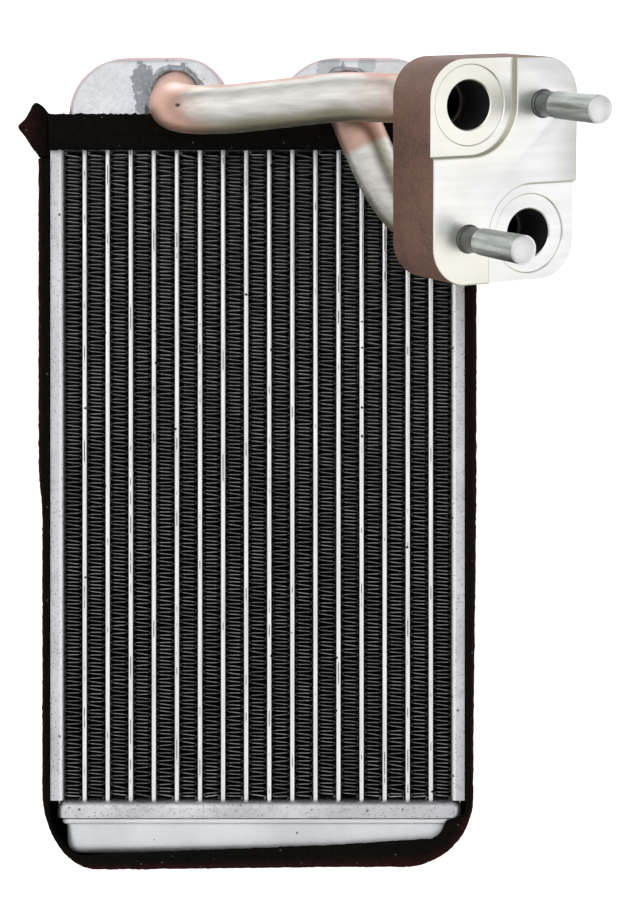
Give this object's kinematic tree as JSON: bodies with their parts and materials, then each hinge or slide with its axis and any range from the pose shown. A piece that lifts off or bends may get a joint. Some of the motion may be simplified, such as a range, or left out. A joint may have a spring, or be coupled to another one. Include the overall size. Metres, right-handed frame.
{
  "type": "heater core",
  "caption": "Brazed aluminium heater core with flat tubes and corrugated fins, domed tanks, two bent pipes to a two-port block with studs, and a foam tape edge.",
  "frame": {"origin": "middle of the underside of the part's box, as it lies on its back", "axes": "+Y along the tubes, from the lower tank to the two domed tanks; +Z out of the face that carries the pipes; +X across the tubes, towards the connection block"},
  "size_m": [0.1801, 0.2592, 0.1189],
  "materials": {
    "tube_aluminium": "satin",
    "fin_aluminium": "satin",
    "sheet_aluminium": "satin",
    "tank_aluminium": "satin",
    "pipe_aluminium": "satin",
    "machined_aluminium": "satin",
    "zinc_plated_steel": "satin",
    "foam": "matte"
  },
  "bodies": {
    "root": {"tube_01": "tube_aluminium", "tube_02": "tube_aluminium", "tube_03": "tube_aluminium", "tube_04": "tube_aluminium", "tube_05": "tube_aluminium", "tube_06": "tube_aluminium", "tube_07": "tube_aluminium", "tube_08": "tube_aluminium", "tube_09": "tube_aluminium", "tube_10": "tube_aluminium", "tube_11": "tube_aluminium", "tube_12": "tube_aluminium", "tube_13": "tube_aluminium", "tube_14": "tube_aluminium", "tube_15": "tube_aluminium", "tube_16": "tube_aluminium", "fin_01": "fin_aluminium", "fin_02": "fin_aluminium", "fin_03": "fin_aluminium", "fin_04": "fin_aluminium", "fin_05": "fin_aluminium", "fin_06": "fin_aluminium", "fin_07": "fin_aluminium", "fin_08": "fin_aluminium", "fin_09": "fin_aluminium", "fin_10": "fin_aluminium", "fin_11": "fin_aluminium", "fin_12": "fin_aluminium", "fin_13": "fin_aluminium", "fin_14": "fin_aluminium", "fin_15": "fin_aluminium", "fin_16": "fin_aluminium", "fin_17": "fin_aluminium", "side_plate_left": "sheet_aluminium", "side_plate_right": "sheet_aluminium", "upper_header_plate": "sheet_aluminium", "lower_header_plate": "sheet_aluminium", "lower_tank": "tank_aluminium", "inlet_tank": "tank_aluminium", "outlet_tank": "tank_aluminium", "inlet_pipe": "pipe_aluminium", "outlet_pipe": "pipe_aluminium", "connection_block": "machined_aluminium", "upper_stud": "zinc_plated_steel", "lower_stud": "zinc_plated_steel", "foam_wrap": "foam", "foam_front_strip": "foam", "foam_tape_end": "foam"}
  },
  "joints": []
}
